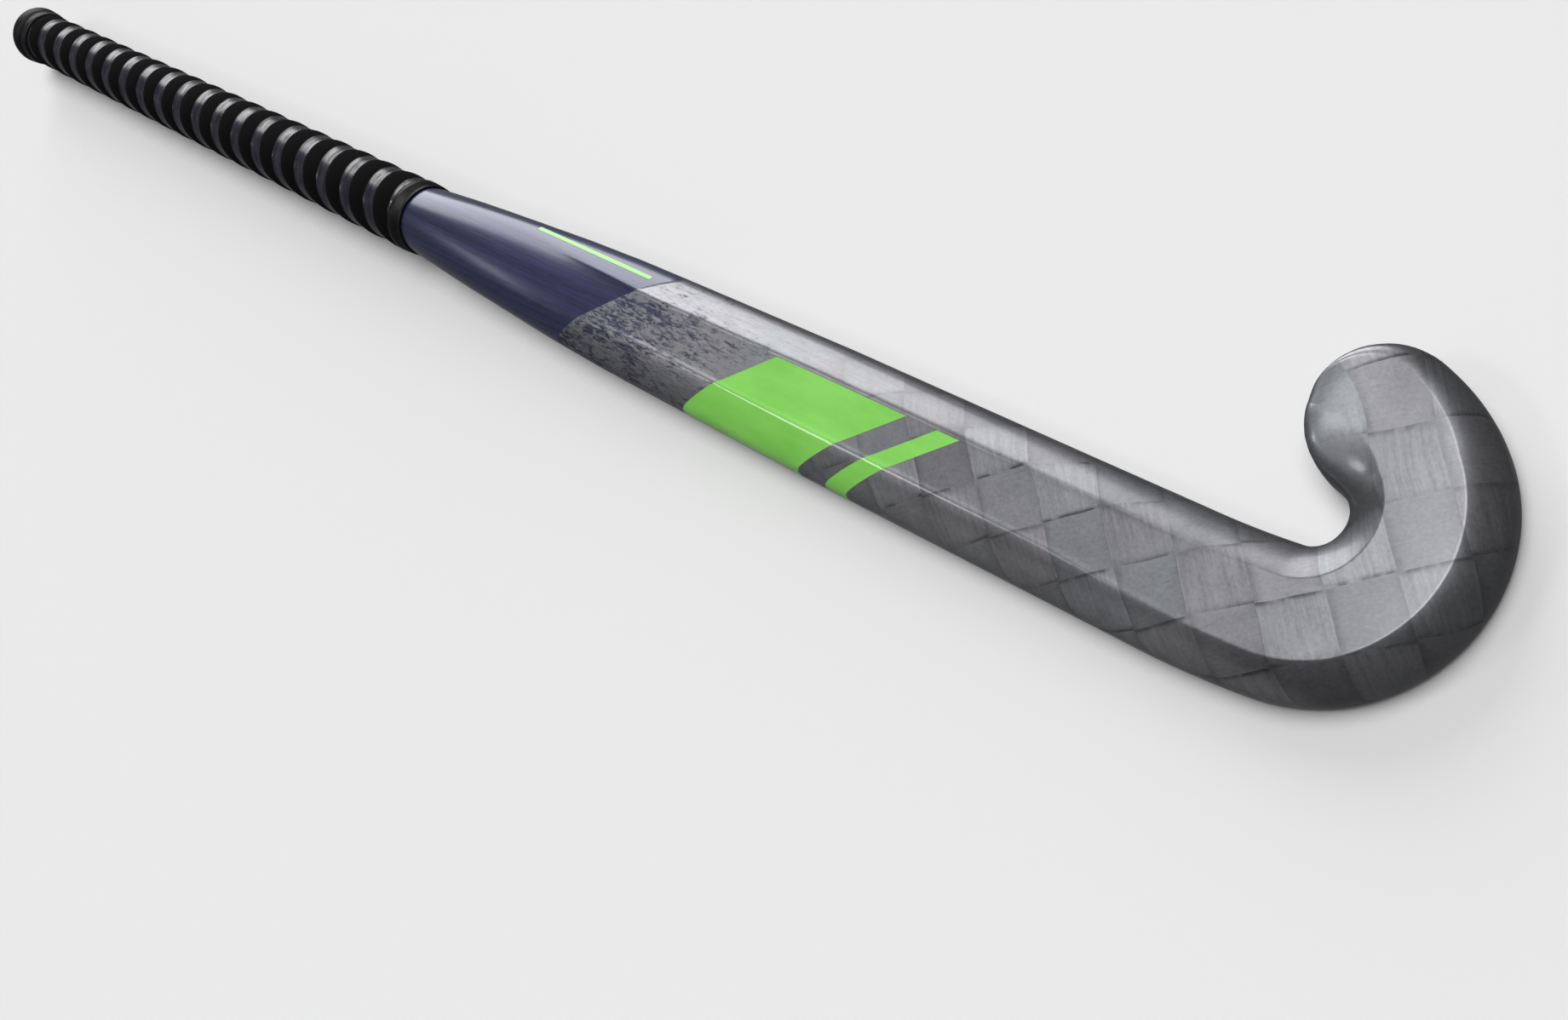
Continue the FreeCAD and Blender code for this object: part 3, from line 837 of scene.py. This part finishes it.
def tow_ends(p, x, y, end, cell, a_over, calm):
    """How the tone drops, as painted shade, where a tow goes under its neighbours, with a dark line where it
    dives.
    """
    dip = p.blend(calm, 1.0, p.ramp(end, 0.0, 3.6, 0.84, 1.0))
    broken = p.ramp(p.noise(p.join(x, y, 7.0), 0.10, 2.0), 0.42, 0.60)
    line_strength = p.times(p.blend(a_over, p.ramp(cell, 0.0, 0.8, 0.30, 0.66), 0.10), broken)
    line = p.times(p.ramp(end, 0.30, 1.70, 1.0, 0.0), p.times(line_strength, calm))
    return dip, p.less(1.0, line)


def spread_tow_material():
    """A wide checker of thin flat tows under a clear coat, with worn silver print towards the paint."""
    p = Paint("spread_tow", metallic=0.85, coat_weight=0.6, coat_roughness=0.14,
              specular_tint=(0.35, 0.35, 0.38, 1.0))
    x, y = p.cloth()
    px, py, _ = p.spot()
    stick_x, stick_y = p.less(px, 1000.0 * ORIGIN.x), p.less(py, 1000.0 * ORIGIN.y)

    # The weave, which is calmer round the toe's tip, where the cloth coordinates run together
    from_tip = distance_from_tip(p, px, py)
    calm = p.ramp(from_tip, 5.0, 24.0, 0.15, 1.0)
    (tow_a, along_a, across_a, edge_a), (tow_b, along_b, across_b, edge_b) = tow_families(p, x, y)
    a_over = p.math("FLOORED_MODULO", p.add(p.add(tow_a, tow_b), 1.0), 2.0)
    cell = p.random(tow_a, tow_b)
    end = p.blend(a_over, edge_a, edge_b)
    fibre, fine = tow_fibres(p, x, y, p.blend(a_over, along_b, along_a),
                             p.blend(a_over, across_b, across_a), cell, a_over, calm)
    dip, beside_line = tow_ends(p, x, y, end, cell, a_over, calm)
    shade = p.times(p.times(fibre, dip), beside_line)
    tow_tone = p.blend(a_over, p.random(tow_b, 3.0), p.random(tow_a, 9.0))
    # Squares where the first family's tows lie on top are 0.08 darker: painted sheen, for how the lights
    # catch the fibres' direction. The other terms differ at random
    square_tone = p.add(p.add(0.86, p.times(cell, 0.20)),
                        p.add(p.times(tow_tone, 0.13), p.times(a_over, -0.08)))
    weave_and_painted_light_tone = p.times(shade, square_tone)

    # These are painted light and shade: the heel side is up to 1.7 times lighter, the hook darker and the
    # toe's tip up to 1.3 times lighter, to make up for how the studio lights them. A real cloth has one tone
    # all over
    weave_and_painted_light_tone = p.times(weave_and_painted_light_tone, p.ramp(stick_y, -18.5, -13.0, 1.70, 1.0))
    weave_and_painted_light_tone = p.times(weave_and_painted_light_tone, p.ramp(stick_x, 795.0, 850.0, 1.0, 0.83))
    weave_and_painted_light_tone = p.times(weave_and_painted_light_tone, p.ramp(from_tip, 14.0, 36.0, 1.30, 1.0))

    # Near the paint the weave hides under a streaky silver print
    past_paint = p.less(p.less(stick_x, PAINT_END), p.times(stick_y, SLANT))
    shown = p.ramp(past_paint, 60.0, 185.0)
    print_streak = p.noise(p.join(p.times(x, 0.08), y, 2.0), 0.8, 5.0, 0.7)
    print_grain = p.noise(p.join(p.times(x, 0.35), y, 5.0), 1.1, 3.0, 0.65)
    print_and_painted_shade_tone = p.add(0.40, p.add(p.times(print_streak, 1.15), p.times(print_grain, 0.90)))
    # Painted shade: the print is darker on the toe side's bevel, to make up for how brightly the lights
    # catch it
    print_and_painted_shade_tone = p.times(print_and_painted_shade_tone, p.ramp(stick_y, 9.0, 14.0, 1.0, 0.76))     # for the lights, too
    tone = p.blend(shown, print_and_painted_shade_tone, weave_and_painted_light_tone)
    tint = p.mix(p.random(tow_a, tow_b, 4.0), SILVER_COOL, SILVER_WARM)
    silver = p.mix(1.0, tint, p.join(tone, tone, tone), "MULTIPLY")

    # Fine dark specks where the print has worn, thickest beside the paint
    wear = p.noise(p.join(p.times(x, 0.28), y, 11.0), 0.80, 5.0, 0.78, 0.5)
    patches = p.noise(p.join(p.times(x, 0.6), y, 3.0), 0.11, 2.0, 0.5)
    wear = p.add(wear, p.swing(patches, 0.32))
    limit = p.add(p.ramp(past_paint, 0.0, 190.0, 0.47, 0.74), p.ramp(stick_y, 6.0, 14.0, 0.0, 0.12))
    flecks = p.ramp(p.less(wear, limit), -0.07, 0.11)
    fleck_colour = p.mix(p.ramp(past_paint, 10.0, 110.0), FLECK_BY_PAINT, FLECK_IN_PRINT)
    colour = p.mix(p.times(flecks, 0.88), silver, fleck_colour)

    height = p.add(p.times(p.ramp(end, 0.0, 2.0), 0.8), p.times(fibre, 0.35))
    scratches = p.times(p.less(1.0, shown), p.add(print_streak, print_grain))
    height = p.less(p.add(p.times(height, shown), scratches), p.times(flecks, 0.5))
    roughness = p.add(0.33, p.add(p.times(fine, 0.12), p.times(flecks, 0.12)))
    return p.finish(colour, roughness, height, 0.05, 0.6)


def navy_material():
    """Dark blue pearl paint over lengthwise fibres, under a clear coat."""
    p = Paint("navy_paint", metallic=0.35, coat_weight=1.0, coat_roughness=0.19)
    x, y = p.cloth()
    long_streak = p.noise(p.join(p.times(x, 0.018), y, 1.0), 0.7, 4.0, 0.6)
    fine_streak = p.noise(p.join(p.times(x, 0.05), y, 4.0), 2.3, 3.0, 0.65)
    share = p.add(p.times(long_streak, 0.6), p.times(fine_streak, 0.4))
    colour = p.mix(p.ramp(share, 0.34, 0.68), (0.007, 0.010, 0.045, 1.0), (0.026, 0.034, 0.120, 1.0))
    roughness = p.add(0.30, p.times(fine_streak, 0.15))
    return p.finish(colour, roughness, share, 0.07, 0.5)


def lacquer_material():
    """Bright green print, slightly uneven, under the same clear coat."""
    p = Paint("green_lacquer", coat_weight=0.8, coat_roughness=0.08)
    x, y, z = p.spot()
    mottle = p.noise(p.join(p.times(x, 0.3), y, z), 0.12, 3.0)
    grain = p.noise(p.join(x, y, z), 3.0, 2.0)
    colour = p.mix(p.ramp(mottle, 0.3, 0.7), (0.205, 0.640, 0.075, 1.0), (0.250, 0.720, 0.105, 1.0))
    return p.finish(colour, p.add(0.38, p.times(grain, 0.12)), grain, 0.01, 0.4)


def grip_material():
    """Black grip: matte ribs, satin embossed valleys and a fine pebble over both."""
    p = Paint("grip_wrap", specular_ior_level=0.05, coat_ior=1.75, coat_roughness=0.2)
    length, offset = p.cloth()
    half_rib = 0.5 * RIB_WIDTH
    from_rib = p.math("ABSOLUTE", offset)
    satin = p.ramp(from_rib, half_rib - 0.5, half_rib + 0.4)
    pebble = p.noise(p.join(length, offset), 1.9, 3.0, 0.6)
    smear = p.noise(p.join(p.times(length, 0.25), offset), 0.35, 3.0)
    matte = p.mix(pebble, (0.0025, 0.0025, 0.0028, 1.0), (0.0050, 0.0050, 0.0056, 1.0))
    shiny = p.mix(smear, (0.008, 0.007, 0.014, 1.0), (0.024, 0.021, 0.036, 1.0))
    colour = p.mix(satin, matte, shiny)
    roughness = p.blend(satin, 0.9, p.add(0.12, p.times(smear, 0.28)))
    p.put(p.shader.inputs["Coat Weight"], p.times(satin, p.ramp(smear, 0.35, 0.62, 0.22, 0.85)))
    dot_pitch = 1.6
    dots_x = p.math("SINE", p.times(length, 2.0 * math.pi / dot_pitch))
    dots_y = p.math("SINE", p.times(offset, 2.0 * math.pi / dot_pitch))
    dots = p.ramp(p.times(dots_x, dots_y), 0.25, 0.8)
    height = p.add(p.times(pebble, 0.6), p.times(p.times(dots, satin), 0.5))
    return p.finish(colour, roughness, height, 0.08, 0.7, rough_coat=True)


def tape_material():
    """Black vinyl tape with stretch marks."""
    p = Paint("finish_tape", specular_ior_level=0.2)
    x, y, z = p.spot()
    marks = p.noise(p.join(p.times(x, 2.2), p.times(y, 0.35), p.times(z, 0.35)), 0.6, 4.0, 0.6)
    colour = p.mix(marks, (0.003, 0.003, 0.0035, 1.0), (0.008, 0.008, 0.009, 1.0))
    return p.finish(colour, p.add(0.30, p.times(marks, 0.2)), marks, 0.10, 0.6)


def rubber_material():
    """Moulded black rubber with a fine spark-eroded grain."""
    p = Paint("butt_rubber", specular_ior_level=0.15)
    x, y, z = p.spot()
    grain = p.noise(p.join(x, y, z), 2.6, 3.0, 0.7)
    scuff = p.noise(p.join(x, y, z), 0.22, 4.0, 0.6)
    colour = p.mix(p.ramp(scuff, 0.35, 0.7), (0.003, 0.003, 0.004, 1.0), (0.007, 0.007, 0.008, 1.0))
    return p.finish(colour, p.add(0.34, p.times(scuff, 0.22)), grain, 0.05, 0.6)


def twill_material(name, thread, gap_and_shade, tow_mm, metallic=0.0, roughness=0.4):
    """A two-by-two twill of round tows, for the layers inside, with painted shade where each tow rounds down
    at its edges.
    """
    p = Paint(name, metallic=metallic)
    x, y, z = p.spot()
    u, v = p.times(x, 1.0 / tow_mm), p.times(p.add(y, z), 1.0 / tow_mm)
    column, row = p.math("FLOOR", u), p.math("FLOOR", v)
    over = p.math("LESS_THAN", p.math("FLOORED_MODULO", p.add(column, row), 4.0), 2.0)
    round_u = p.math("PINGPONG", p.math("FRACT", u), 0.5)
    round_v = p.math("PINGPONG", p.math("FRACT", v), 0.5)
    dome = p.blend(over, round_u, round_v)
    fibre_u, fibre_v = p.blend(over, u, p.times(u, 8.0)), p.blend(over, p.times(v, 8.0), v)
    fibre = p.noise(p.join(fibre_u, fibre_v), 2.0, 2.0)
    # Darker towards each tow's edges: painted shade on the rounded tows, and the dark joins between them
    tone = p.add(p.ramp(dome, 0.0, 0.35, 0.25, 0.8), p.times(fibre, 0.3))
    return p.finish(p.mix(tone, gap_and_shade, thread), p.add(roughness, p.times(fibre, 0.15)), dome, 0.15)


def foam_material(name, light, dark, cell_per_mm):
    """Closed-cell foam: small domed cells of uneven tone."""
    p = Paint(name, roughness=0.85)
    x, y, z = p.spot()
    cells = p.node("TexVoronoi")
    p.put(cells.inputs["Vector"], p.join(x, y, z))
    p.put(cells.inputs["Scale"], cell_per_mm)
    mottle = p.noise(p.join(x, y, z), 0.15, 3.0)
    shade = p.add(p.times(cells.outputs["Distance"], 0.7), p.times(mottle, 0.3))
    return p.finish(p.mix(shade, light, dark), p.add(0.75, p.times(mottle, 0.2)), shade, 0.2)


def strand_material():
    """Twisted cord, seen at the ends of the grip's rib."""
    p = Paint("grip_cord", roughness=0.8)
    x, y, z = p.spot()
    twist = p.math("SINE", p.times(p.add(p.add(x, y), p.times(z, 0.7)), 4.2))
    fuzz = p.noise(p.join(x, y, z), 3.0, 3.0, 0.7)
    shade = p.add(p.times(twist, 0.3), fuzz)
    colour = p.mix(shade, grey(0.30, 0.9), grey(0.62, 0.92))
    return p.finish(colour, p.add(0.7, p.times(fuzz, 0.2)), shade, 0.1)


def dress_inner_nodes():
    """Gives each CAD node that stays its own material."""
    carbon = twill_material("carbon_twill", grey(0.055), grey(0.010), 2.0, 0.3, 0.32)
    aramid = twill_material("aramid_weave", (0.62, 0.44, 0.10, 1.0), (0.25, 0.16, 0.03, 1.0), 1.5)
    cotton = twill_material("grip_base_cloth", grey(0.42, 0.9), grey(0.16, 0.9), 0.5, 0.0, 0.7)
    light_foam = foam_material("core_foam", grey(0.78, 0.88), grey(0.55, 0.82), 0.9)
    dense_foam = foam_material("head_foam", (0.62, 0.50, 0.33, 1.0), (0.42, 0.31, 0.18, 1.0), 1.3)
    plug = foam_material("plug_plastic", grey(0.20), grey(0.12), 2.2)
    chosen = {
        "structural_laminate": carbon, "bridge_web": carbon, "damping_liner": aramid, "butt_plug": plug,
        "handle_core": light_foam, "shaft_core_toe_side": light_foam, "shaft_core_heel_side": light_foam,
        "head_core": dense_foam, "grip_base_tape": cotton, "grip_ridge_cord": strand_material(),
    }
    for name, material in chosen.items():
        for material_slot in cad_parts[name].material_slots:
            material_slot.material = material


# ---------------------------------------------------------------- the studio

def look_along(obj, position, target, roll_degrees=0.0):
    """Points an object's -Z from its place at a target, turned about that line."""
    forward = (target - position).normalized()
    level = forward.cross(Vector((0.0, 0.0, 1.0))).normalized()
    upright = level.cross(forward)
    roll = math.radians(roll_degrees)
    right = level * math.cos(roll) + upright * math.sin(roll)
    up = right.cross(forward)
    turn = Matrix((right, up, -forward)).transposed().to_4x4()
    obj.matrix_world = Matrix.Translation(position) @ turn


CAMERA_PLACE, CAMERA_TARGET = (1035.3, -34.25, 517.34), (641.7, -39.3, 0.0)
CAMERA_ROLL, CAMERA_LENS = -62.67, 39.89      # degrees, and millimetres on a 36 mm sensor
PALE, WORLD_STRENGTH, BACKDROP_GLOW = 0.86, 0.14, 0.80


def add_camera():
    """The camera at the photograph's viewing angle."""
    data = bpy.data.cameras.new("camera")
    data.sensor_width = 36.0
    data.lens = CAMERA_LENS
    data.clip_start = 0.01
    camera = bpy.data.objects.new("camera", data)
    bpy.context.scene.collection.objects.link(camera)
    look_along(camera, to_frame(*CAMERA_PLACE), to_frame(*CAMERA_TARGET), CAMERA_ROLL)
    bpy.context.scene.camera = camera


def far_light(name, azimuth, elevation, spread, radiance):
    """A large soft light far away, given by its direction and by the angle that it spans."""
    data = bpy.data.lights.new(name, "SUN")
    data.angle = math.radians(spread)
    data.energy = radiance * 2.0 * math.pi * (1.0 - math.cos(0.5 * data.angle))
    lamp = bpy.data.objects.new(name, data)
    bpy.context.scene.collection.objects.link(lamp)
    a, e = math.radians(azimuth), math.radians(elevation)
    away = Vector((math.cos(e) * math.cos(a), math.cos(e) * math.sin(a), math.sin(e)))
    look_along(lamp, away * 6.0, Vector((0.0, 0.0, 0.0)))


def stage_piece(name, points, faces, material):
    """Part of the studio, which isn't mirrored in the stick."""
    mesh = bpy.data.meshes.new(name)
    mesh.from_pydata(points, [], faces)
    mesh.materials.append(material)
    piece = bpy.data.objects.new(name, mesh)
    bpy.context.scene.collection.objects.link(piece)
    piece.visible_glossy = False
    return piece


def studio():
    """Plain lights, a pale floor and a plain ring of wall that closes the horizon. Sizes are metres."""
    scene = bpy.context.scene
    scene.view_settings.view_transform = "Standard"
    scene.view_settings.look = "None"
    world = bpy.data.worlds.new("world")
    world.use_nodes = True
    background = world.node_tree.nodes["Background"]
    background.inputs["Color"].default_value = (1.0, 1.0, 1.0, 1.0)
    background.inputs["Strength"].default_value = WORLD_STRENGTH
    scene.world = world
    far_light("key", 142.0, 20.5, 45.0, 3.4)
    far_light("overhead", 90.0, 80.0, 41.0, 4.7)
    far_light("ridge_light", 211.0, 48.5, 10.0, 9.0)

    reach, ground = 40.0, -0.0002
    corners = [(x * reach, y * reach, ground) for x, y in ((-1, -1), (1, -1), (1, 1), (-1, 1))]
    pale = Paint("floor", roughness=0.9, base_color=grey(PALE))
    stage_piece("floor", corners, [(0, 1, 2, 3)], pale.material)

    count, radius, height = 48, 36.0, 40.0
    turns = [2.0 * math.pi * k / count for k in range(count)]
    foot = [(radius * math.cos(a), radius * math.sin(a), ground) for a in turns]
    head = [(x, y, height) for x, y, _ in foot]
    walls = [(k, (k + 1) % count, count + (k + 1) % count, count + k) for k in range(count)]
    glow = Paint("backdrop", base_color=grey(0.0), specular_ior_level=0.0,
                 emission_color=grey(BACKDROP_GLOW), emission_strength=1.0)
    wall = stage_piece("backdrop", foot + head, walls, glow.material)
    wall.visible_diffuse = False
    wall.visible_shadow = False


def main():
    painted_ply(navy_material())
    spread_tow_ply(spread_tow_material())
    decoration(lacquer_material())
    grip_wrap(grip_material())
    grip_ends(tape_material(), rubber_material())
    dress_inner_nodes()
    add_camera()
    studio()


main()
